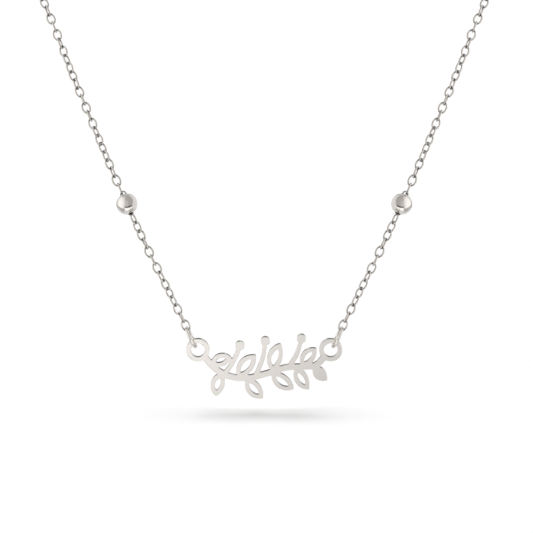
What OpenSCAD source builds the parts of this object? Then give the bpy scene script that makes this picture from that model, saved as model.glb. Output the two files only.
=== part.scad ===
// Nameplate necklace, in millimetres. +Z is up, -Y is the front, X runs across.
// The origin is at the nape of the neck, at the middle of the clasp.

/* [Necklace] */
// Width of the necklace at its widest, round the neck
necklace_w = 108; // [102:1:114]
// Depth from the nape of the neck to the plate
necklace_depth = 98; // [94:1:102]
// Drop from the nape of the neck to the axis on which the plate swings
necklace_drop = 132; // [127:1:137]

/* [Plate] */
// Distance between the centres of the two eyelets
eyelet_spacing = 19.02; // [18:0.02:21]
// Outer diameter of an eyelet
eyelet_od = 3.3; // [3.1:0.05:3.5]
// Hole diameter of an eyelet
eyelet_hole = 2; // [1.9:0.05:2.1]
// Thickness of the plate
plate_t = 0.9; // [0.6:0.05:0.95]
// Depth of the stem's lowest bend below the eyelets' centres
stem_drop = 4.1; // [3.6:0.1:4.6]
// Width of the stem
stem_w = 0.85; // [0.7:0.05:1.1]
// Length of the longest leaf
leaf_length = 4.3; // [3.8:0.1:4.8]
// Width of the widest leaf
leaf_width = 2.15; // [1.9:0.05:2.4]
// Width of the rim that is left round a pierced leaf
leaf_rim = 0.6; // [0.5:0.05:0.7]
// Radius that softens the inner corners of the plate
crotch_r = 0.12; // [0.06:0.02:0.16]
// Radius of the leaves' soft tips
tip_r = 0.2; // [0.1:0.02:0.3]
// Diameter of a berry
berry_d = 1.3; // [1:0.05:1.5]
// Length of the longest berry's stalk
stalk_length = 5.4; // [4.5:0.1:5.8]
// Width of a berry's stalk
stalk_w = 0.6; // [0.5:0.05:0.7]

/* [Jump rings] */
// Outer diameter of a jump ring
ring_od = 3.4; // [3.4:0.05:3.7]
// Diameter of the jump ring's wire
ring_wire = 0.42; // [0.3:0.02:0.44]
// Width of the fine cut in a jump ring
ring_cut = 0.06; // [0.03:0.01:0.1]
// How far the jump ring's centre lies above the middle of the eyelet's rim
ring_lift = 0.55; // [0.45:0.01:0.56]
// Angle from the top of the eyelet to the jump ring
ring_lean = 27; // [22:1:32]

/* [Chain] */
// Outer length of a link
link_l = 1.955; // [1.9:0.005:2.1]
// Outer width of a link
link_w = 1.34; // [1.24:0.02:1.4]
// Diameter of the link's wire
link_wire = 0.26; // [0.2:0.01:0.27]
// Clearance between pieces that hang in each other
clearance = 0.135; // [0.13:0.005:0.15]
// Number of links between a jump ring and a bead
lower_links = 14; // [10:1:16]
// Number of single links above a bead
upper_links = 45; // [30:1:48]
// Turn of the lower chain's first link round its own length
lower_roll = 6; // [0:1:30]
// Slow twist from one lower link to the next, beside the quarter turn
lower_twist = 10.5; // [0:0.5:12]
// Turn of the upper chain's first link round its own length
upper_roll = 96; // [80:1:110]
// Slow twist from one upper link to the next, beside the quarter turn
upper_twist = 9; // [0:0.5:12]
// Diameter of the plain run of chain behind the neck
back_d = 1.2; // [0.8:0.1:1.6]

/* [Beads] */
// Diameter of a bead
bead_d = 3; // [2.6:0.1:3.4]
// Outer diameter of the wire eye soldered to a bead
eye_od = 1; // [1:0.02:1.2]
// Diameter of the eye's wire
eye_wire = 0.22; // [0.18:0.01:0.23]

/* [Clasp] */
// Length of the clasp's barrel
clasp_l = 7; // [6:0.5:10]
// Diameter of the clasp's barrel
clasp_d = 2.4; // [2:0.1:3]
// Radius of the rounding at the barrel's ends
clasp_round = 0.5; // [0.3:0.05:0.7]
// Outer diameter of the eye at each end of the clasp
clasp_eye_od = 1.5; // [1.4:0.05:1.8]
// Diameter of the clasp eye's wire
clasp_eye_wire = 0.34; // [0.26:0.02:0.38]

/* [Hidden] */

left = -1;
right = 1;
silver = [0.87, 0.86, 0.84];
// Corners round the wire of a link, and round the plain run of chain
wire_sides = 5;
back_sides = 8;
// Radius of a link's end, as a share of the link's width
link_end_share = 0.31;
// Gap between the plain run of chain and what it meets
back_gap = 0.15;
// Distance between the rings of the plain run, in its diameters
back_step = 2.6;
// Bow of a berry's stalk, as a share of its length
stalk_bow = 0.06;
// Corners of round forms, of a berry and of the softened inner corners
round_fn = 48;
berry_fn = 24;
crotch_fn = 16;

// Depth and height of the axis on which the plate swings: the middle of both eyelets' rims
swing_y = -necklace_depth;
swing_z = -necklace_drop;
rim_r = (eyelet_od + eyelet_hole) / 4;
eyelet_z = swing_z - rim_r * cos(ring_lean);
rim_middle = [eyelet_spacing / 2 + rim_r * sin(ring_lean), swing_y, swing_z];

// Route of the right half of the necklace from the eyelet's rim up to the nape of the neck.
// Its points are chosen by hand, as shares of half the width, of the depth and of the drop.
route_shares = [
    [0.2444, -0.9969, -0.9523], [0.3019, -0.9908, -0.9053], [0.363, -0.9796, -0.8523],
    [0.4167, -0.9612, -0.8038], [0.4704, -0.9337, -0.7538], [0.5222, -0.902, -0.7061],
    [0.5722, -0.8673, -0.6576], [0.6724, -0.801, -0.572], [0.7788, -0.7194, -0.4924],
    [0.8796, -0.6276, -0.4129], [0.963, -0.5204, -0.3371], [1, -0.398, -0.2652],
    [0.9778, -0.2755, -0.2008], [0.8889, -0.1684, -0.1439], [0.7315, -0.0816, -0.0947],
    [0.5185, -0.0286, -0.053], [0.2685, -0.0061, -0.0189], [0, 0, 0]
];
necklace_size = [necklace_w / 2, necklace_depth, necklace_drop];
route = [for (p = route_shares) [for (i = [0:2]) p[i] * necklace_size[i]]];
// Steps of the smooth curve between two of the route's points
route_steps = 10;

function unit(v) = v / norm(v);
function across(v, t) = unit(v - (v * t) * t);
function mirrored(v, side) = [side * v.x, v.y, v.z];
function backwards(v) = [for (i = [len(v) - 1:-1:0]) v[i]];

// Smooth curve through points, in even steps between each two
function curve_point(a, b, c, d, t) =
    b + t / 2 * (c - a + t * (2 * a - 5 * b + 4 * c - d + t * (3 * b - a - 3 * c + d)));
function smooth(v, steps) = concat(
    [for (i = [0:len(v) - 2], k = [0:steps - 1])
        let (a = i == 0 ? 2 * v[0] - v[1] : v[i - 1],
             d = i == len(v) - 2 ? 2 * v[i + 1] - v[i] : v[i + 2])
        curve_point(a, v[i], v[i + 1], d, k / steps)],
    [v[len(v) - 1]]);
function directions(v) = [for (i = [0:len(v) - 1]) unit(v[min(i + 1, len(v) - 1)] - v[max(i - 1, 0)])];
function stations(v) = [for (i = 0, s = 0; i < len(v);
    i = i + 1, s = s + norm(v[min(i, len(v) - 1)] - v[i - 1])) [s, i]];

path = smooth(concat([rim_middle], route), route_steps);
path_turns = directions(path);
path_marks = stations(path);
path_end = len(path) - 1;
path_length = path_marks[path_end][0];
// Direction that stays square to the path and starts out towards the front
path_fronts = [for (i = 0, n = across([0, -1, 0], path_turns[0]); i <= path_end;
    i = i + 1, n = across(n, path_turns[min(i, path_end)])) n];

// Value of a list that follows the path, at a distance from the eyelet's rim
function at(v, s) =
    let (f = lookup(s, path_marks), i = min(floor(f), path_end - 1))
    v[i] + (f - i) * (v[i + 1] - v[i]);

// Stations of the pieces along the path
link_half = (link_l - link_wire) / 2;
link_pitch = link_l - 2 * link_wire - clearance;
lower_start = ring_lift + ring_od / 2 - ring_wire - clearance - link_wire / 2;
lower_end = lower_start + 2 * link_half + (lower_links - 1) * link_pitch;
bead_reach = bead_d / 2 + clearance + link_wire / 2;
bead_station = lower_end + bead_reach;
upper_start = bead_station + bead_reach;
upper_end = upper_start + 2 * link_half + (upper_links - 1) * link_pitch;
eye_offset = bead_reach + link_wire / 2 + clearance + eye_wire - eye_od / 2;
clasp_eye_x = clasp_l / 2 + clasp_eye_od / 2 - clasp_eye_wire;
back_start = upper_end + link_wire / 2 + back_gap;
back_end = path_length - clasp_eye_x - clasp_eye_od / 2 - back_gap;
back_rings = ceil((back_end - back_start) / (back_step * back_d));

function lower_turn(i) = lower_roll + i * (90 + lower_twist);
function upper_turn(i) = upper_roll + i * (90 + upper_twist);

// Middle line of a link: an oval of four arcs, as [along, aside] at the direction it faces
oval_a = link_half;
oval_b = (link_w - link_wire) / 2;
oval_end = link_end_share * link_w;
oval_side = ((oval_a - oval_end) ^ 2 + oval_b ^ 2 - oval_end ^ 2) / (2 * (oval_b - oval_end));
oval_join = atan2(oval_side - oval_b, oval_a - oval_end);
function oval(turn) =
    acos(abs(cos(turn))) < oval_join
        ? [sign(cos(turn)) * (oval_a - oval_end) + oval_end * cos(turn), oval_end * sin(turn)]
        : [oval_side * cos(turn), sign(sin(turn)) * (oval_b - oval_side) + oval_side * sin(turn)];

// Directions of the corners of a link, three in each quarter, closer together round its ends
corner_turns = [0, 40, 70, 90, 110, 140, 180, 220, 250, 270, 290, 320];

// Frame of a piece that spans two stations: its middle, its direction and the direction of its width
function span_frame(from, to, turn) =
    let (a = at(path, from), b = at(path, to), t = unit(b - a),
         n = across(at(path_fronts, (from + to) / 2), t), m = cross(t, n))
    [(a + b) / 2, t, cos(turn) * m + sin(turn) * n];

function link_points(frame) =
    let (m = cross(frame[1], frame[2]))
    [for (turn = corner_turns, k = [0:wire_sides - 1])
        let (c = oval(turn), w = 360 * k / wire_sides, out = cos(turn) * frame[1] + sin(turn) * frame[2])
        frame[0] + c.x * frame[1] + c.y * frame[2] + link_wire / 2 * (cos(w) * out + sin(w) * m)];
function tube_faces(rings, sides, closed, first) =
    [for (i = [0:rings - (closed ? 1 : 2)], k = [0:sides - 1], half = [0, 1])
        let (i2 = (i + 1) % rings, k2 = (k + 1) % sides,
             a = first + i * sides + k, b = first + i2 * sides + k,
             c = first + i2 * sides + k2, d = first + i * sides + k2)
        half == 0 ? [a, b, c] : [a, c, d]];
function handed(faces, side) = [for (f = faces) side > 0 ? backwards(f) : f];

// A run of single links, each turned against the one before it, as loose closed solids
module links(side, frames) {
    count = len(frames);
    link_size = len(corner_turns) * wire_sides;
    points = [for (f = frames, p = link_points(f)) mirrored(p, side)];
    faces = [for (i = [0:count - 1])
        for (f = tube_faces(len(corner_turns), wire_sides, true, i * link_size)) f];
    color(silver) polyhedron(points, handed(faces, side), convexity = 10);
}

// A ring of round wire in the plane of its width, open by a fine cut where one is given
module wire_ring(od, wire, cut = 0) {
    ring_r = (od - wire) / 2;
    gap = cut / ring_r * 180 / PI;
    rotate([0, 0, 90 + gap / 2]) rotate_extrude(angle = 360 - gap, $fn = round_fn)
        translate([ring_r, 0]) circle(d = wire, $fn = round_fn);
}

// Children drawn along X are set on a frame of the path, on one side of the necklace
module placed(side, frame) {
    m = cross(frame[1], frame[2]);
    mirror([side < 0 ? 1 : 0, 0, 0])
        multmatrix([for (i = [0:2]) [frame[1][i], frame[2][i], m[i], frame[0][i]]]) children();
}

// Middle line of the stem, as shares of half the eyelets' spacing and of the stem's drop
stem_shares = [
    [-0.9, -0.24], [-0.76, -0.62], [-0.54, -0.93], [-0.26, -1], [0.04, -0.84],
    [0.32, -0.63], [0.56, -0.6], [0.77, -0.55], [0.91, -0.24]
];
stem = smooth([for (p = stem_shares) [p.x * eyelet_spacing / 2, p.y * stem_drop]], 3);
stem_turns = directions(stem);
function on_list(list, share) =
    let (f = share * (len(list) - 1), i = min(floor(f), len(list) - 2))
    list[i] + (f - i) * (list[i + 1] - list[i]);
function ribbon(line, w) =
    let (turns = directions(line), last = len(line) - 1)
    concat([for (i = [0:last]) line[i] + w / 2 * [-turns[i].y, turns[i].x]],
        [for (i = [last:-1:0]) line[i] - w / 2 * [-turns[i].y, turns[i].x]]);

// Leaves: where each starts as a share of the stem, its side, its turn from the stem,
// its length and width as shares of the largest leaf's, and whether it is pierced.
leaves = [
    [0.09, 1, 66, 0.72, 0.86, true],
    [0.2, -1, 76, 0.8, 0.92, true],
    [0.315, 1, 58, 0.98, 1, true],
    [0.37, -1, 54, 0.88, 0.95, true],
    [0.535, 1, 56, 1, 1, true],
    [0.53, -1, 56, 0.94, 0.95, true],
    [0.705, -1, 62, 0.88, 0.9, true],
    [0.75, 1, 50, 0.8, 0.9, true],
    [0.86, -1, 66, 0.66, 0.8, false]
];
// Berries: where each stalk starts as a share of the stem, its side, its turn from the stem,
// and its length as a share of the longest stalk.
berries = [
    [0.215, 1, 88, 0.88],
    [0.425, 1, 62, 1],
    [0.65, 1, 60, 0.84]
];
// Share of a leaf's width on the side away from the stem
leaf_back = 0.6;
// Steps of a leaf's long arcs and of its soft tips
lens_steps = 6;
tip_steps = 4;
// A lens of two arcs with soft ends, inset all round: points from its foot at 0 to its tip at l
function arc(c, r, from, to, steps) =
    [for (k = [0:steps]) let (a = from + (to - from) * k / steps) c + r * [cos(a), sin(a)]];
function soft_lens(l, up, down, inset, soft) =
    let (ru = (l ^ 2 / 4 + up ^ 2) / (2 * up), rd = (l ^ 2 / 4 + down ^ 2) / (2 * down),
         cu = [l / 2, up - ru], cd = [l / 2, rd - down],
         a = ru - inset - soft, b = rd - inset - soft,
         y = (a ^ 2 - b ^ 2 + cd.y ^ 2 - cu.y ^ 2) / (2 * (cd.y - cu.y)),
         x = sqrt(a ^ 2 - (y - cu.y) ^ 2),
         tu = atan2(y - cu.y, x), td = atan2(y - cd.y, x))
    concat(arc(cu, ru - inset, 180 - tu, tu, lens_steps), arc([l / 2 + x, y], soft, tu, td, tip_steps),
        arc(cd, rd - inset, td, -180 - td, lens_steps),
        arc([l / 2 - x, y], soft, -180 - td, -180 - tu, tip_steps));
module from_stem(share, side, turn) {
    t = on_list(stem_turns, share);
    translate(on_list(stem, share)) rotate(atan2(t.y, t.x) + side * turn) mirror([0, side > 0 ? 0 : 1])
        children();
}
module leaf(row, inset, soft) {
    w = row[4] * leaf_width;
    from_stem(row[0], row[1], row[2])
        polygon(soft_lens(row[3] * leaf_length, leaf_back * w, (1 - leaf_back) * w, inset, soft));
}
module berry(row) {
    l = row[3] * stalk_length;
    from_stem(row[0], row[1], row[2]) {
        polygon(ribbon([for (k = [0:6]) [l * k / 6, -stalk_bow * l * sin(180 * k / 6)]], stalk_w));
        translate([l, 0]) circle(d = berry_d, $fn = berry_fn);
    }
}

// The flat shape of the plate, with its inner corners softened
module plate_shape() {
    offset(r = -crotch_r, $fn = crotch_fn) offset(delta = crotch_r) difference() {
        union() {
            polygon(ribbon(stem, stem_w));
            for (row = leaves) leaf(row, 0, tip_r);
            for (row = berries) berry(row);
            for (side = [left, right])
                translate([side * eyelet_spacing / 2, 0]) circle(d = eyelet_od, $fn = round_fn);
        }
        for (row = leaves) if (row[5]) leaf(row, leaf_rim, tip_r / 2);
    }
}

module nameplate() {
    color(silver) translate([0, swing_y + plate_t / 2, eyelet_z]) rotate([90, 0, 0]) difference() {
        linear_extrude(plate_t) plate_shape();
        for (side = [left, right])
            translate([side * eyelet_spacing / 2, 0, -plate_t])
                cylinder(d = eyelet_hole, h = 3 * plate_t, $fn = round_fn);
    }
}

module jump_ring(side) {
    frame = span_frame(0, ring_od / 2, 90);
    color(silver) placed(side, [path[0] + ring_lift * frame[1], frame[1], frame[2]])
        wire_ring(ring_od, ring_wire, ring_cut);
}
module jump_ring_left() { jump_ring(left); }
module jump_ring_right() { jump_ring(right); }

module chain_lower(side) {
    links(side, [for (i = [0:lower_links - 1])
        let (s = lower_start + i * link_pitch) span_frame(s, s + 2 * link_half, lower_turn(i))]);
}
module chain_lower_left() { chain_lower(left); }
module chain_lower_right() { chain_lower(right); }

// A wire eye on a bead, set square to the link that hangs in it
module bead_eye(x, link_turn) {
    translate([x, 0, 0]) rotate([-90 - link_turn, 0, 0]) wire_ring(eye_od, eye_wire);
}
module bead(side) {
    color(silver) placed(side, span_frame(bead_station - bead_reach, bead_station + bead_reach, 0)) {
        sphere(d = bead_d, $fn = round_fn);
        bead_eye(-eye_offset, lower_turn(lower_links - 1));
        bead_eye(eye_offset, upper_turn(0));
    }
}
module bead_left() { bead(left); }
module bead_right() { bead(right); }

module chain_upper(side) {
    links(side, [for (i = [0:upper_links - 1])
        let (s = upper_start + i * link_pitch) span_frame(s, s + 2 * link_half, upper_turn(i))]);
}
module chain_upper_left() { chain_upper(left); }
module chain_upper_right() { chain_upper(right); }

// The run of chain behind the neck, plain and as thick as the links are wide
module chain_back(side) {
    points = [for (i = [0:back_rings - 1])
        let (s = back_start + (back_end - back_start) * i / (back_rings - 1),
             t = unit(at(path_turns, s)), n = across(at(path_fronts, s), t), m = cross(t, n))
        for (k = [0:back_sides - 1])
            mirrored(at(path, s) + back_d / 2 * (cos(360 * k / back_sides) * m
                + sin(360 * k / back_sides) * n), side)];
    ends = [[for (k = [0:back_sides - 1]) k],
            [for (k = [back_sides - 1:-1:0]) (back_rings - 1) * back_sides + k]];
    faces = concat(tube_faces(back_rings, back_sides, false, 0), ends);
    color(silver) polyhedron(points, handed(faces, side), convexity = 10);
}
module chain_back_left() { chain_back(left); }
module chain_back_right() { chain_back(right); }

// The clasp is plain: a round barrel with a wire eye at each end
module clasp() {
    inner = clasp_d / 2 - clasp_round;
    profile = concat([[0, -clasp_l / 2]],
        [for (a = [-90:15:0]) [inner + clasp_round * cos(a), -clasp_l / 2 + clasp_round * (1 + sin(a))]],
        [for (a = [0:15:90]) [inner + clasp_round * cos(a), clasp_l / 2 - clasp_round * (1 - sin(a))]],
        [[0, clasp_l / 2]]);
    color(silver) {
        rotate([0, 90, 0]) rotate_extrude($fn = round_fn) polygon(profile);
        for (side = [left, right])
            translate([side * clasp_eye_x, 0, 0]) rotate([90, 0, 0])
                wire_ring(clasp_eye_od, clasp_eye_wire);
    }
}

nameplate();
jump_ring_left();
jump_ring_right();
chain_lower_left();
chain_lower_right();
bead_left();
bead_right();
chain_upper_left();
chain_upper_right();
chain_back_left();
chain_back_right();
clasp();
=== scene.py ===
"""A nameplate necklace in polished silver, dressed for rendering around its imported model."""
import math
import random

import bpy
import numpy as np
from mathutils import Matrix, Vector
from mathutils.geometry import delaunay_2d_cdt


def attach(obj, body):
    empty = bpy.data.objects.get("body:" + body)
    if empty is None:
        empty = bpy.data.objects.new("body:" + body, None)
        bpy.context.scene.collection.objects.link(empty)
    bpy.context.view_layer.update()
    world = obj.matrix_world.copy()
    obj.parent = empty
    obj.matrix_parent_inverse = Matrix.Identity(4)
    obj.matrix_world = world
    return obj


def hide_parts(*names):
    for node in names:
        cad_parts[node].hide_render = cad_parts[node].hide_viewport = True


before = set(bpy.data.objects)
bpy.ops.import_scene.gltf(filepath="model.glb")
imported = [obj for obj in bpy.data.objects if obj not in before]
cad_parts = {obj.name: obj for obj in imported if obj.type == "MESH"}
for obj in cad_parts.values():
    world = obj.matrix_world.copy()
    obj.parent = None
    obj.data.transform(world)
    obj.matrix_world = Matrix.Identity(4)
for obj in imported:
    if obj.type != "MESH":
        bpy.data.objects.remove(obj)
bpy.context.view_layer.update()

MM = 0.001
LEFT, RIGHT = -1, 1
SIDES = {LEFT: "left", RIGHT: "right"}

# Sizes of the pieces in millimetres, as in the part's source
EYELET_SPACING, EYELET_OD, EYELET_HOLE = 19.02, 3.3, 2.0
RING_OD, RING_WIRE, RING_CUT = 3.4, 0.42, 0.06
RING_LIFT, RING_LEAN = 0.55, 27
LINK_L, LINK_W, LINK_WIRE, CLEARANCE = 1.955, 1.34, 0.26, 0.135
LINK_END = 0.31 * LINK_W
LOWER_LINKS, UPPER_LINKS = 14, 45
LOWER_ROLL, LOWER_TWIST = 6, 10.5
UPPER_ROLL, UPPER_TWIST = 96, 9
BEAD_D, EYE_OD, EYE_WIRE = 3.0, 1.0, 0.22
CLASP_L, CLASP_D, CLASP_EYE_OD, CLASP_EYE_WIRE = 7.0, 2.4, 1.5, 0.34
PLATE_T = 0.9
NECKLACE_W, NECKLACE_DEPTH, NECKLACE_DROP = 108.0, 98.0, 132.0
SWING_Y, SWING_Z = -NECKLACE_DEPTH, -NECKLACE_DROP

# What the drawn pieces add: the beads' drilled holes, and the roundings of clasp and plate
HOLE_R, HOLE_RIM, HOLE_FLOOR, RIM_STEPS, BALL_STEPS = 0.45, 0.05, 0.85, 6, 24
CLASP_ROUND, CLASP_STEPS = 0.5, 8
EDGE_ROUND, EDGE_STEPS = 0.08, 5
# Facets along each loop of wire and round its wire, and round the bead and the clasp
RING_FACETS, LINK_FACETS, EYE_FACETS, CLASP_EYE_FACETS = (96, 24), (40, 12), (48, 16), (64, 20)
LATHE_FACETS = 64

# The route of the right half, from the first point above the eyelet up to the nape of the neck,
# as shares of half the necklace's width, of its depth and of its drop
ROUTE_SHARES = [
    (0.2444, -0.9969, -0.9523), (0.3019, -0.9908, -0.9053), (0.363, -0.9796, -0.8523),
    (0.4167, -0.9612, -0.8038), (0.4704, -0.9337, -0.7538), (0.5222, -0.902, -0.7061),
    (0.5722, -0.8673, -0.6576), (0.6724, -0.801, -0.572), (0.7788, -0.7194, -0.4924),
    (0.8796, -0.6276, -0.4129), (0.963, -0.5204, -0.3371), (1, -0.398, -0.2652),
    (0.9778, -0.2755, -0.2008), (0.8889, -0.1684, -0.1439), (0.7315, -0.0816, -0.0947),
    (0.5185, -0.0286, -0.053), (0.2685, -0.0061, -0.0189), (0, 0, 0),
]
ROUTE = [(x * NECKLACE_W / 2, y * NECKLACE_DEPTH, z * NECKLACE_DROP) for x, y, z in ROUTE_SHARES]
ROUTE_STEPS = 10


def square_to(v, t):
    """v without its share along t, at length 1."""
    return (v - v.dot(t) * t).normalized()


def toward(turn, a, b):
    """The direction at a turn from a towards b."""
    return math.cos(turn) * a + math.sin(turn) * b


def full_circle(count):
    """Even turns round a full circle."""
    return [2 * math.pi * k / count for k in range(count)]


class Path:
    """The smooth curve of one half of the necklace, walked by distance."""

    def __init__(self, points):
        self.points = self.smooth([Vector(p) for p in points])
        last = len(self.points) - 1
        turns = [(self.points[min(i + 1, last)] - self.points[max(i - 1, 0)]).normalized()
                 for i in range(last + 1)]
        self.marks = [0.0]
        self.fronts = [square_to(Vector((0, -1, 0)), turns[0])]
        for i in range(1, last + 1):
            self.marks.append(self.marks[-1] + (self.points[i] - self.points[i - 1]).length)
            self.fronts.append(square_to(self.fronts[-1], turns[i]))
        self.length = self.marks[-1]

    @staticmethod
    def smooth(p):
        """The points of a smooth curve through p."""
        ends = [2 * p[0] - p[1]] + p + [2 * p[-1] - p[-2]]
        curve = []
        for a, b, c, d in zip(ends, ends[1:], ends[2:], ends[3:]):
            for k in range(ROUTE_STEPS):
                t = k / ROUTE_STEPS
                curve.append(b + t / 2 * (c - a + t * (2 * a - 5 * b + 4 * c - d
                                                       + t * (3 * b - a - 3 * c + d))))
        return curve + [p[-1]]

    def at(self, values, s):
        """The value at station s, of values that are given for each point."""
        i = max(k for k in range(len(self.marks) - 1) if self.marks[k] <= s or k == 0)
        share = (s - self.marks[i]) / (self.marks[i + 1] - self.marks[i])
        return values[i].lerp(values[i + 1], share)

    def span(self, start, end, turn):
        """Where a piece between two stations lies: its middle, its direction and its width's."""
        a, b = self.at(self.points, start), self.at(self.points, end)
        along = (b - a).normalized()
        front = square_to(self.at(self.fronts, (start + end) / 2), along)
        return (a + b) / 2, along, toward(math.radians(turn), along.cross(front), front)


rim_r = (EYELET_OD + EYELET_HOLE) / 4
lean = math.radians(RING_LEAN)
path = Path([(EYELET_SPACING / 2 + rim_r * math.sin(lean), SWING_Y, SWING_Z)] + ROUTE)

# Drawn under tension: each strand is pulled towards its bead, and the jump ring up its eyelet
RING_PULL, LOWER_PULL, LOWER_STRETCH, UPPER_PULL = 0.12, 0.188, 0.0112, 0.2
# How far along the strand some upper links are drawn from their even stations, as (link, shift)
UPPER_SHIFTS = ((0, 0), (12, -0.15), (24, 0.17), (45, 0))
# How far the drawn ring is turned about its strand, and moved outwards in its eyelet
RING_TURN, RING_SHIFT = 3, 0.09
# The gap that is drawn between two links, and how far each may be turned off its place
DRAWN_GAP, LINK_SCATTER = 0.07, 2
# The last lower links' extra turns
LAST_TURNS = {11: 6, 12: 14, 13: 16}
# How far the upper eye leans in from the chain's line
EYE_LEAN = 0.12

# Stations of the pieces along the path
link_half = (LINK_L - LINK_WIRE) / 2
link_pitch = LINK_L - 2 * LINK_WIRE - CLEARANCE
drawn_half = (link_pitch + LINK_WIRE + DRAWN_GAP) / 2
lower_start = RING_LIFT + RING_OD / 2 - RING_WIRE - CLEARANCE - LINK_WIRE / 2
bead_reach = BEAD_D / 2 + CLEARANCE + LINK_WIRE / 2
bead_station = lower_start + 2 * link_half + (LOWER_LINKS - 1) * link_pitch + bead_reach
bead_ends = (bead_station - bead_reach, bead_station + bead_reach)
upper_start = bead_station + bead_reach
clasp_eye_x = CLASP_L / 2 + CLASP_EYE_OD / 2 - CLASP_EYE_WIRE
back_start = upper_start - UPPER_PULL + UPPER_LINKS * link_pitch
back_end = (path.length - clasp_eye_x - CLASP_EYE_OD / 2 + CLASP_EYE_WIRE + CLEARANCE
            + LINK_WIRE / 2)
back_links = round((back_end - back_start - 2 * link_half) / link_pitch) + 1
back_pitch = (back_end - back_start - 2 * link_half) / (back_links - 1)


def eased(i, knots):
    """The value at i of a curve that eases from knot to knot."""
    for (a, low), (b, high) in zip(knots, knots[1:]):
        if i <= b:
            return low + (high - low) * (1 - math.cos(math.pi * (i - a) / (b - a))) / 2
    return knots[-1][1]


def mesh_object(name, verts, faces):
    """A smooth-shaded mesh object from points in millimetres."""
    mesh = bpy.data.meshes.new(name)
    mesh.from_pydata([tuple(MM * c for c in v) for v in verts], [], faces)
    mesh.polygons.foreach_set("use_smooth", [True] * len(mesh.polygons))
    mesh.update()
    piece = bpy.data.objects.new(name, mesh)
    bpy.context.collection.objects.link(piece)
    return piece


def handed(verts, faces, side):
    """Points and faces as they are on the right, or their mirror image on the left."""
    if side == RIGHT:
        return verts, faces
    return [(-v[0], v[1], v[2]) for v in verts], [f[::-1] for f in faces]


def oval(turn):
    """Where a link's middle line faces a direction, as (along, aside): an oval of four arcs."""
    a, b = drawn_half, (LINK_W - LINK_WIRE) / 2
    r = LINK_END
    side_r = ((a - r) ** 2 + b * b - r * r) / (2 * (b - r))
    c, s = math.cos(turn), math.sin(turn)
    if math.atan2(abs(s), abs(c)) < math.atan2(side_r - b, a - r):
        return math.copysign(a - r, c) + r * c, r * s
    return side_r * c, math.copysign(1, s) * (b - side_r) + side_r * s


def ring_tube(centres, outs, normal, wire_r, sides, closed=True):
    """A tube of round wire along the centres, each with its direction out and the one normal."""
    verts, faces = [], []
    count = len(centres)
    for c, out in zip(centres, outs):
        verts += [c + wire_r * toward(w, out, normal) for w in full_circle(sides)]
    for i in range(count if closed else count - 1):
        j = (i + 1) % count
        for k in range(sides):
            n = (k + 1) % sides
            faces.append((i * sides + k, i * sides + n, j * sides + n, j * sides + k))
    if not closed:
        faces.append(tuple(range(sides))[::-1])
        faces.append(tuple((count - 1) * sides + k for k in range(sides)))
    return verts, faces


def joined(parts):
    """Several sets of points and faces as one."""
    verts, faces = [], []
    for v, f in parts:
        faces += [tuple(len(verts) + i for i in face) for face in f]
        verts += v
    return verts, faces


def links(name, side, frames, seed):
    """A run of links as one piece. Each lies a hair off its neighbours, as drawn wire does."""
    chance = random.Random(seed)
    segments, sides = LINK_FACETS
    parts = []
    for middle, along, wide in frames:
        scatter = math.radians(chance.uniform(-LINK_SCATTER, LINK_SCATTER))
        wide = Matrix.Rotation(scatter, 3, along) @ wide
        centres, outs = [], []
        for turn in full_circle(segments):
            u, w = oval(turn)
            centres.append(middle + u * along + w * wide)
            outs.append(toward(turn, along, wide))
        parts.append(ring_tube(centres, outs, along.cross(wide), LINK_WIRE / 2, sides))
    return mesh_object(name, *handed(*joined(parts), side))


def wire_ring(middle, along, wide, od, wire, facets, cut=0.0):
    """A round ring of wire. A cut leaves two flat ends at the side that its width points to."""
    segments, sides = facets
    r = (od - wire) / 2
    gap = cut / r
    outs = []
    for k in range(segments if cut == 0 else segments + 1):
        turn = math.pi / 2 + gap / 2 + (2 * math.pi - gap) * k / segments
        outs.append(toward(turn, along, wide))
    centres = [middle + r * out for out in outs]
    return ring_tube(centres, outs, along.cross(wide), wire / 2, sides, closed=cut == 0)


def lathe(profile, middle, pole, across):
    """A closed solid turned round the pole from (height, radius) points, its highest first."""
    third = pole.cross(across)
    sides = LATHE_FACETS
    verts, faces = [middle + profile[0][0] * pole], []
    for height, r in profile[1:-1]:
        verts += [middle + height * pole + r * toward(w, across, third) for w in full_circle(sides)]
    verts.append(middle + profile[-1][0] * pole)
    last = len(verts) - 1
    for k in range(sides):
        n = (k + 1) % sides
        faces.append((0, 1 + k, 1 + n))
        faces.append((last, last - sides + n, last - sides + k))
        for i in range(len(profile) - 3):
            a, b = 1 + i * sides, 1 + (i + 1) * sides
            faces.append((a + k, b + k, b + n, a + n))
    return verts, faces


def bead_profile():
    """A ball drilled at both poles, each hole with a soft rim."""
    r, rim = BEAD_D / 2, HOLE_RIM
    start = math.asin((HOLE_R + rim) / (r - rim))
    half = [(HOLE_FLOOR, 0), (HOLE_FLOOR, HOLE_R)]
    centre = ((r - rim) * math.cos(start), HOLE_R + rim)
    for k in range(RIM_STEPS + 1):
        a = math.pi - (math.pi / 2 + start) * k / RIM_STEPS
        half.append((centre[0] + rim * math.sin(a), centre[1] + rim * math.cos(a)))
    for k in range(1, BALL_STEPS):
        a = start + (math.pi / 2 - start) * k / BALL_STEPS
        half.append((r * math.cos(a), r * math.sin(a)))
    return half + [(0, r)] + [(-height, radius) for height, radius in half[::-1]]


# At the plate's outline: what counts as its front, points too close to keep, edges too short to
# refine, the turn of a real corner, and how far an edge may bulge and an inset may grow at a corner
FRONT_GAP, POINT_GAP, SHORT_EDGE = 0.001, 0.004, 0.03
CORNER_TURN, MOST_BULGE, LEAST_FACING = 0.9, 0.1, 0.6


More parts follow.
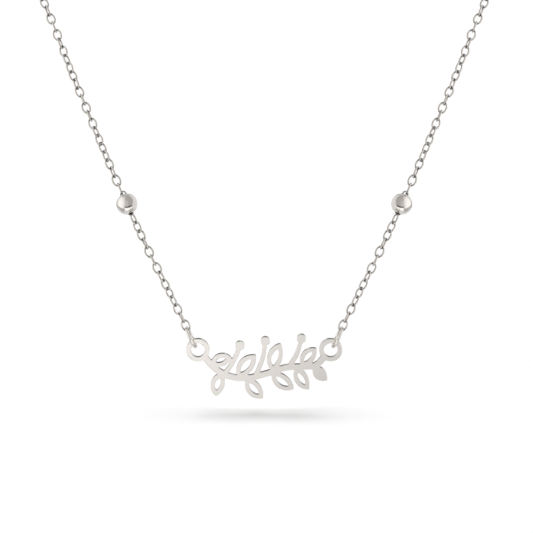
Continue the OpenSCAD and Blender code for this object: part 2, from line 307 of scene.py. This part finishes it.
class Outline:
    """A closed outline in the plate's plane, refined between its corners, and its insets."""

    def __init__(self, points):
        for _ in range(2):
            points = self.refined(points)
        self.points = points
        self.insets = self.metal_side(points)

    @staticmethod
    def bend(a, b, c):
        """The turn at b, as curvature. It is 0 at a real corner."""
        before, after = b - a, c - b
        turn = before.angle_signed(after, 0.0)
        return 0.0 if abs(turn) > CORNER_TURN else -2 * turn / (before.length + after.length)

    @classmethod
    def refined(cls, points):
        """The outline with one more point in each long edge, on the curve that its ends bend to."""
        count = len(points)
        bends = [cls.bend(points[i - 1], points[i], points[(i + 1) % count]) for i in range(count)]
        fine = []
        for i in range(count):
            a, b = points[i], points[(i + 1) % count]
            edge = b - a
            fine.append(a)
            if edge.length < SHORT_EDGE:
                continue
            here, there = bends[i], bends[(i + 1) % count]
            bulge = min(abs(here), abs(there)) if here * there > 0 else 0.0
            rise = min(bulge * edge.length ** 2 / 8, MOST_BULGE * edge.length)
            rise = math.copysign(rise, here)
            fine.append((a + b) / 2 + rise * Vector((edge.y, -edge.x)).normalized())
        return fine

    @staticmethod
    def metal_side(points):
        """At each point, the step towards the metal that insets both its edges by 1."""
        count = len(points)
        steps = []
        for i in range(count):
            before = (points[i] - points[i - 1]).normalized()
            after = (points[(i + 1) % count] - points[i]).normalized()
            mean = (before + after).normalized()
            side = Vector((-mean.y, mean.x))
            steps.append(side / max(LEAST_FACING, side.dot(Vector((-before.y, before.x)))))
        return steps


def plate_loops(node):
    """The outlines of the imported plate's front, in millimetres, with the metal on their left."""
    matrix = node.matrix_world
    corners = [matrix @ v.co / MM for v in node.data.vertices]
    front = min(c.y for c in corners)
    keys = [(round(c.x, 4), round(c.z, 4)) if c.y < front + FRONT_GAP else None
            for c in corners]
    follows = {}
    edges = set()
    node.data.calc_loop_triangles()
    for triangle in node.data.loop_triangles:
        ring = [keys[i] for i in triangle.vertices]
        if None in ring or len(set(ring)) < 3:
            continue
        (ax, ay), (bx, by), (cx, cy) = ring
        if (bx - ax) * (cy - ay) - (cx - ax) * (by - ay) < 0:
            ring = ring[::-1]
        edges.update(zip(ring, ring[1:] + ring[:1]))
    for a, b in edges:
        if (b, a) not in edges:
            follows.setdefault(a, []).append(b)
    loops = []
    while follows:
        start = next(iter(follows))
        loop, here = [], start
        while here in follows:
            loop.append(Vector(here))
            onward = follows[here]
            there = onward.pop()
            if not onward:
                del follows[here]
            here = there
        loops.append(loop)
    return [merged(loop) for loop in loops if len(loop) > 2]


def merged(loop):
    """The loop without points that lie closer together than the plate's finest arc."""
    kept = [loop[0]]
    for point in loop[1:]:
        if (point - kept[-1]).length > POINT_GAP:
            kept.append(point)
    if (kept[0] - kept[-1]).length < POINT_GAP:
        kept.pop()
    return kept


def inside(points, loops):
    """Which points lie in the metal, by counting the outlines' crossings."""
    px, py = points[:, 0:1], points[:, 1:2]
    odd = np.zeros(len(points), dtype=bool)
    for loop in loops:
        a = np.array([tuple(p) for p in loop])
        b = np.roll(a, -1, axis=0)
        ax, ay, bx, by = a[:, 0], a[:, 1], b[:, 0], b[:, 1]
        spans = (ay > py) != (by > py)
        rise = np.where(by == ay, 1.0, by - ay)
        hits = spans & (px < (bx - ax) * (py - ay) / rise + ax)
        odd ^= hits.sum(axis=1) % 2 == 1
    return odd


def plate(node):
    """The plate with its cut edges rounded over by polishing."""
    rows = []
    for k in range(EDGE_STEPS + 1):
        a = math.pi / 2 * (1 - k / EDGE_STEPS)
        rows.append((EDGE_ROUND * (1 - math.cos(a)), PLATE_T / 2 - EDGE_ROUND * (1 - math.sin(a))))
    rows = rows + [(inset, -depth) for inset, depth in rows[::-1]]
    # The walls, row by row, and the edges of the flat faces with the front and back point of each
    verts, faces = [], []
    flats, edges, owners = [], [], []
    for outline in (Outline(loop) for loop in plate_loops(node)):
        first, count = len(verts), len(outline.points)
        for inset, depth in rows:
            for p, step in zip(outline.points, outline.insets):
                q = p + inset * step
                verts.append((q.x, SWING_Y - depth, q.y))
        for r in range(len(rows) - 1):
            a, b = first + r * count, first + (r + 1) * count
            for i in range(count):
                n = (i + 1) % count
                faces.append((a + i, b + i, b + n, a + n))
        base, last = len(owners), first + (len(rows) - 1) * count
        flats.append([Vector((x, z)) for x, _, z in verts[first:first + count]])
        edges += [(base + i, base + (i + 1) % count) for i in range(count)]
        owners += [(first + i, last + i) for i in range(count)]
    # The two flat faces
    points, _, triangles, sources, _, _ = delaunay_2d_cdt(sum(flats, []), edges, [], 0, 1e-6)
    centres = [tuple(sum((points[i] for i in t), Vector((0, 0))) / 3) for t in triangles]
    walls = len(faces)
    for t, keep in zip(triangles, inside(np.array(centres), flats)):
        if keep:
            pairs = [owners[sources[i][0]] for i in t]
            faces.append(tuple(front for front, _ in pairs))
            faces.append(tuple(back for _, back in pairs[::-1]))
    piece = mesh_object("plate_polished", verts, faces)
    for face in piece.data.polygons[walls:]:
        face.use_smooth = False
    return piece


# Materials. How open a spot is, and the share of the metal's colour that it keeps there: painted
# shade, darkest where the spot is most closed in.
SHADE_TONES = ((0.0, 0.01), (0.55, 0.03), (0.76, 0.5), (0.9, 1.0))
# The rubbed spots' size as a share of the waves' size, and their shares of the roughness
RUBBED_SIZE, RUBBED_LEAST, RUBBED_MOST = 0.35, 0.6, 1.4


def silver(name, colour, shade_reach, rough, wave, wave_size):
    """Polished silver: soft waves, a cloud of rubbed spots, and painted shade that darkens its
    colour in its hollows.
    """
    material = bpy.data.materials.new(name)
    material.use_nodes = True
    nodes, link = material.node_tree.nodes, material.node_tree.links.new
    shader = nodes["Principled BSDF"]
    shader.inputs["Metallic"].default_value = 1
    # Painted shade: ambient occlusion darkens the base colour in tight spots between and inside the
    # pieces
    corner = nodes.new("ShaderNodeAmbientOcclusion")
    corner.samples = 8
    corner.inputs["Distance"].default_value = shade_reach * MM
    depth = nodes.new("ShaderNodeValToRGB")
    link(corner.outputs["AO"], depth.inputs["Fac"])
    link(depth.outputs["Color"], shader.inputs["Base Color"])
    elements = depth.color_ramp.elements
    elements[0].position, elements[1].position = SHADE_TONES[0][0], SHADE_TONES[-1][0]
    for spot, _ in SHADE_TONES[1:-1]:
        elements.new(spot)
    for element, (_, tone) in zip(elements, SHADE_TONES):
        element.color = (*(tone * c for c in colour), 1)
    place = nodes.new("ShaderNodeTexCoord")
    waves = nodes.new("ShaderNodeTexNoise")
    waves.inputs["Scale"].default_value = 1 / (wave_size * MM)
    waves.inputs["Detail"].default_value = 2
    link(place.outputs["Object"], waves.inputs["Vector"])
    bump = nodes.new("ShaderNodeBump")
    bump.inputs["Strength"].default_value = 1
    bump.inputs["Distance"].default_value = wave * MM
    link(waves.outputs["Fac"], bump.inputs["Height"])
    link(bump.outputs["Normal"], shader.inputs["Normal"])
    rubbed = nodes.new("ShaderNodeTexNoise")
    rubbed.inputs["Scale"].default_value = 1 / (RUBBED_SIZE * wave_size * MM)
    rubbed.inputs["Detail"].default_value = 4
    link(place.outputs["Object"], rubbed.inputs["Vector"])
    spread = nodes.new("ShaderNodeMapRange")
    spread.inputs["To Min"].default_value = RUBBED_LEAST * rough
    spread.inputs["To Max"].default_value = RUBBED_MOST * rough
    link(rubbed.outputs["Fac"], spread.inputs["Value"])
    link(spread.outputs["Result"], shader.inputs["Roughness"])
    return material


def dressed(piece, material, slot, body, *nodes):
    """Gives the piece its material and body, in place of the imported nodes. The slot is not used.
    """
    piece.data.materials.append(material)
    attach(piece, body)
    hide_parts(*nodes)


# Each with its colour, the reach of its painted shade, the roughness, and the waves' height and
# size
plate_silver = silver("plate_silver", (0.745, 0.72, 0.698), 0.1, 0.14, 0.0003, 1.6)
bead_silver = silver("bead_silver", (0.745, 0.714, 0.693), 0.45, 0.12, 0.0004, 1.2)
ring_silver = silver("ring_silver", (0.745, 0.716, 0.693), 0.2, 0.12, 0.0004, 0.5)
# The chain's silver is a darker copy of the same metal: painted shade for its links, also worn by
# the clasp
chain_silver = silver("chain_silver", (0.62, 0.592, 0.563), 0.38, 0.12, 0.0004, 0.5)

# Pieces
dressed(plate(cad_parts["nameplate"]), plate_silver, "plate_silver", "plate", "nameplate")

for side, word in SIDES.items():
    _, along, front = path.span(0, RING_OD / 2, 90 - RING_TURN)
    ring_middle = path.points[0] + (RING_LIFT + RING_PULL) * along + Vector((RING_SHIFT, 0, 0))
    ring = wire_ring(ring_middle, along, front, RING_OD, RING_WIRE, RING_FACETS, RING_CUT)
    dressed(mesh_object(f"jump_ring_{word}_polished", *handed(*ring, side)), ring_silver,
            "chain_silver", "necklace", f"jump_ring_{word}")

    runs = {"lower": (LOWER_LINKS, lower_start + LOWER_PULL, link_pitch + LOWER_STRETCH,
                      LOWER_ROLL, LOWER_TWIST),
            "upper": (UPPER_LINKS, upper_start - UPPER_PULL, link_pitch, UPPER_ROLL, UPPER_TWIST),
            "back": (back_links, back_start, back_pitch,
                     UPPER_ROLL + UPPER_LINKS * (90 + UPPER_TWIST), UPPER_TWIST)}
    for run, (count, start, pitch, roll, twist) in runs.items():
        turns = [roll + i * (90 + twist) for i in range(count)]
        if run == "lower":
            turns = [turn + LAST_TURNS.get(i, 0) for i, turn in enumerate(turns)]
        stations = [start + i * pitch for i in range(count)]
        if run == "upper":
            stations = [s + eased(i, UPPER_SHIFTS) for i, s in enumerate(stations)]
        frames = [path.span(s, s + 2 * link_half, turn) for s, turn in zip(stations, turns)]
        dressed(links(f"chain_{run}_{word}_links", side, frames, run + word),
                chain_silver, "chain_silver", "necklace", f"chain_{run}_{word}")

    lower_turn = LOWER_ROLL + (LOWER_LINKS - 1) * (90 + LOWER_TWIST) + LAST_TURNS[LOWER_LINKS - 1]
    middle, along, aside = path.span(*bead_ends, 0)
    # Each eye touches its link from within: straight above it, or aside where the eye leans
    tight = (EYE_OD - EYE_WIRE) / 2 - (LINK_WIRE + EYE_WIRE) / 2
    hook = link_half - drawn_half
    lower_eye = bead_reach - LOWER_PULL - (LOWER_LINKS - 1) * LOWER_STRETCH + hook - tight
    upper_eye = bead_reach - UPPER_PULL + hook - math.sqrt(tight ** 2 - EYE_LEAN ** 2)
    parts = [lathe(bead_profile(), middle, along, aside)]
    for offset, shift, turn in ((-lower_eye, 0, lower_turn + 90),
                                (upper_eye, EYE_LEAN, UPPER_ROLL + 90)):
        parts.append(wire_ring(middle + offset * along - shift * aside, along,
                               path.span(*bead_ends, turn)[2], EYE_OD, EYE_WIRE, EYE_FACETS))
    dressed(mesh_object(f"bead_{word}_polished", *handed(*joined(parts), side)), bead_silver,
            "bead_silver", "necklace", f"bead_{word}")

barrel = [(CLASP_L / 2, 0)]
for k in range(CLASP_STEPS + 1):
    a = math.pi / 2 * k / CLASP_STEPS
    barrel.append((CLASP_L / 2 - CLASP_ROUND * (1 - math.cos(a)),
                   CLASP_D / 2 - CLASP_ROUND * (1 - math.sin(a))))
barrel = barrel + [(-x, r) for x, r in barrel[::-1]]
parts = [lathe(barrel, Vector((0, 0, 0)), Vector((1, 0, 0)), Vector((0, 1, 0)))]
for side in SIDES:
    parts.append(wire_ring(Vector((side * clasp_eye_x, 0, 0)), Vector((1, 0, 0)),
                           Vector((0, 0, 1)), CLASP_EYE_OD, CLASP_EYE_WIRE, CLASP_EYE_FACETS))
dressed(mesh_object("clasp_polished", *joined(parts)), chain_silver, "chain_silver", "necklace",
        "clasp")

# Stage: a pale floor under the plate, in metres
FLOOR_Z, FLOOR_SIZE, FLOOR_TONE = -0.1423, 6, 0.79
bpy.ops.mesh.primitive_plane_add(size=FLOOR_SIZE, location=(0, 0, FLOOR_Z))
floor = bpy.context.object
floor.name = "floor"
paper = bpy.data.materials.new("floor_paper")
paper.use_nodes = True
shader = paper.node_tree.nodes["Principled BSDF"]
shader.inputs["Base Color"].default_value = (FLOOR_TONE, FLOOR_TONE, FLOOR_TONE, 1)
shader.inputs["Roughness"].default_value = 0.9
shader.inputs["Specular IOR Level"].default_value = 0.1
floor.data.materials.append(paper)
floor.visible_glossy = False

# Light: a wide soft sky from just behind the plate, which the metal doesn't mirror
SKY_POWER, SKY_SPREAD, SKY_LEAN = 4.15, 78, 13
sky = bpy.data.lights.new("sky", "SUN")
sky.energy, sky.angle = SKY_POWER, math.radians(SKY_SPREAD)
lamp = bpy.data.objects.new("sky", sky)
lamp.rotation_euler = (-math.radians(SKY_LEAN), 0, 0)
lamp.visible_glossy = False
bpy.context.collection.objects.link(lamp)

# The colour of the lights that the metal mirrors
WARM = (1.0, 0.985, 0.965, 1)


class Glow:
    """Brightness by place or direction, built up region by region in a node tree."""

    def __init__(self, tree, coordinate):
        self.nodes, self.link = tree.nodes, tree.links.new
        place = self.nodes.new("ShaderNodeTexCoord")
        split = self.nodes.new("ShaderNodeSeparateXYZ")
        self.link(place.outputs[coordinate], split.inputs[0])
        self.x, self.y, self.z = split.outputs
        self.aside = self.math("ABSOLUTE", self.x)

    def math(self, kind, *values):
        """The result of one step of arithmetic."""
        node = self.nodes.new("ShaderNodeMath")
        node.operation = kind
        self.feed(zip(node.inputs, values))
        return node.outputs[0]

    def feed(self, pairs):
        """Gives each socket its plain number or its link."""
        for socket, value in pairs:
            if isinstance(value, (int, float)):
                socket.default_value = value
            else:
                self.link(value, socket)

    def line(self, *terms):
        """A sum of products, each given as a value and its factor, and a last plain number."""
        total = terms[-1]
        for value, factor in terms[:-1]:
            total = self.math("MULTIPLY_ADD", value, factor, total)
        return total

    def step(self, value, start, end):
        """A soft step from 0 at start to 1 at end."""
        node = self.nodes.new("ShaderNodeMapRange")
        node.interpolation_type = "SMOOTHSTEP"
        flip = end < start
        self.feed([(node.inputs["Value"], value), (node.inputs["From Min"], min(start, end)),
                   (node.inputs["From Max"], max(start, end)),
                   (node.inputs["To Min"], 1.0 if flip else 0.0),
                   (node.inputs["To Max"], 0.0 if flip else 1.0)])
        return node.outputs["Result"]

    def over(self, under, value, *steps):
        """value laid over what is under it, where all the steps are 1."""
        share = steps[0]
        for other in steps[1:]:
            share = self.math("MULTIPLY", share, other)
        node = self.nodes.new("ShaderNodeMix")
        self.feed([(node.inputs[0], share), (node.inputs[2], under), (node.inputs[3], value)])
        return node.outputs[0]


def studio(world):
    """What the metal mirrors all round, by direction."""
    world.use_nodes = True
    glow = Glow(world.node_tree, "Generated")
    y, z, aside = glow.y, glow.z, glow.aside
    slope = glow.math("DIVIDE", z, glow.math("MINIMUM", y, -0.05))
    front = glow.step(y, -0.2, -0.4)
    # Bright sides, with grey between them: behind, above, beneath and low behind
    grey = glow.over(0.66, 1.33, glow.step(aside, 0.05, 0.95))
    grey = glow.over(grey, 0.85, glow.step(y, 0.3, 0.7))
    grey = glow.over(grey, 0.52, glow.step(z, 0.5, 0.9), glow.step(aside, 0.35, 0.15))
    grey = glow.over(grey, 0.55, glow.step(glow.line((y, -0.47), (z, 1), 0), -0.36, -0.42))
    grey = glow.over(grey, 0.84, glow.step(z, -0.3, -0.5), glow.step(y, 0.1, 0.5))
    grey = glow.over(grey, 0.88, glow.step(z, -0.82, -0.92), glow.step(aside, 0.4, 0.25))
    # Low in front a white table, with a dark edge above it
    grey = glow.over(grey, 1.5, glow.step(slope, 0.72, 0.8), glow.step(slope, 2.5, 2.2),
                     glow.step(aside, 0.34, 0.24), front)
    grey = glow.over(grey, 0.08, glow.step(slope, 0.36, 0.42), glow.step(slope, 0.66, 0.62),
                     glow.step(aside, 0.42, 0.36), front)
    # A dark screen straight behind
    grey = glow.over(grey, 0.08, glow.step(y, 0.7, 0.85), glow.step(z, -0.1, 0.0),
                     glow.step(z, 0.42, 0.3), glow.step(aside, 0.3, 0.2))
    backdrop = glow.nodes["Background"]
    backdrop.inputs["Color"].default_value = WARM
    glow.link(grey, backdrop.inputs["Strength"])


def panel(name, corners, brightness):
    """A glowing studio panel for the metal to reflect. Nothing else sees it."""
    piece = mesh_object(name, corners, [tuple(range(len(corners)))])
    piece.visible_camera = piece.visible_diffuse = piece.visible_shadow = False
    piece.visible_transmission = piece.visible_volume_scatter = False
    material = bpy.data.materials.new(name)
    material.use_nodes = True
    glow = Glow(material.node_tree, "Object")
    light = glow.nodes.new("ShaderNodeEmission")
    light.inputs["Color"].default_value = WARM
    glow.link(brightness(glow), light.inputs["Strength"])
    glow.link(light.outputs[0], glow.nodes["Material Output"].inputs["Surface"])
    piece.data.materials.append(material)


def card(glow):
    """In front of the plate: brightest at the upper left, and 0.98 in the middle, at z -0.138."""
    return glow.line((glow.x, -14.5), (glow.z, 12), 0.98 + 12 * 0.138)


bead_middle = path.span(*bead_ends, 0)[0]


def divider(glow):
    """Between the beads: light behind, grey in front, and low in front a dark and a white line."""
    y = glow.math("MULTIPLY_ADD", glow.y, 1 / MM, -bead_middle.y)
    z = glow.math("MULTIPLY_ADD", glow.z, 1 / MM, -bead_middle.z)
    behind = glow.line((z, -0.76), (y, 1), 8.7 + 0.76 * 2.2)
    grey = glow.over(0.5, 0.66, glow.step(y, -20, -120))
    grey = glow.over(grey, 0.92, glow.step(behind, -1.5, 1.5))
    grey = glow.over(grey, 1.5, glow.step(glow.line((y, -0.7), (z, 1), 0), 0, -1.5),
                     glow.step(y, -11, -13))
    return glow.over(grey, 0.08, glow.step(glow.line((y, -0.37), (z, 1), -4), 1, -0.5),
                     glow.step(glow.line((y, -0.62), (z, 1), -2.5), -1.5, 0),
                     glow.step(y, -10, -13))


world = bpy.data.worlds.new("studio")
bpy.context.scene.world = world
world.cycles_visibility.diffuse = False
studio(world)
panel("card", [(-13, -112, -146), (13, -112, -146), (13, -112, -128.8), (-13, -112, -128.8)],
      card)
panel("divider", [(0, -315, -190), (0, -112.5, -150), (0, -112.5, -127), (0, -30, -127),
                  (0, -30, 20), (0, -315, 20)], divider)

# Camera at the photograph's angle: how far off it stands, where it aims, and how wide the picture
# is there, in metres. The sensor is in millimetres.
TILT = math.radians(9.5)
REACH = 0.7
AIM = Vector((0.00031, -0.098, -0.1211))
FRAME_WIDTH = 0.07614
SENSOR_WIDTH = 36
lens = bpy.data.cameras.new("camera")
lens.sensor_width = SENSOR_WIDTH
lens.lens = SENSOR_WIDTH * REACH / FRAME_WIDTH
lens.clip_start = 0.01
camera = bpy.data.objects.new("camera", lens)
camera.location = AIM + REACH * Vector((0, -math.cos(TILT), math.sin(TILT)))
camera.rotation_euler = (math.pi / 2 - TILT, 0, 0)
bpy.context.collection.objects.link(camera)
bpy.context.scene.camera = camera
bpy.context.scene.view_settings.view_transform = "Standard"

bpy.context.view_layer.update()
